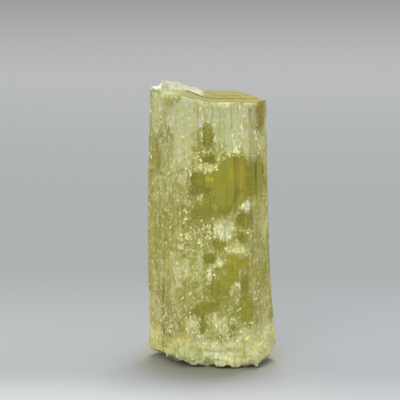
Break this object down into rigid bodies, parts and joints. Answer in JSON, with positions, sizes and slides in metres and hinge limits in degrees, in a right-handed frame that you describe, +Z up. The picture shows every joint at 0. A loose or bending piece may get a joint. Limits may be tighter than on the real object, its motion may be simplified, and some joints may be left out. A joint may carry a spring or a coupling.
{
  "type": "heliodor crystal",
  "caption": "Upright prismatic heliodor crystal, yellow-green beryl: ribbed six-sided prism with a flat end face, a broken ridge on it and a chipped foot.",
  "frame": {"origin": "on the surface that the crystal stands on, below the middle of its box", "axes": "+Z up along the prism; -Y is the front, the wide side face seen in the picture; +X to the right"},
  "size_m": [0.0166, 0.013, 0.0359],
  "materials": {
    "heliodor": "clear yellow-green crystal with frosted, fractured zones"
  },
  "bodies": {
    "root": {"heliodor_crystal": "heliodor"}
  },
  "joints": []
}
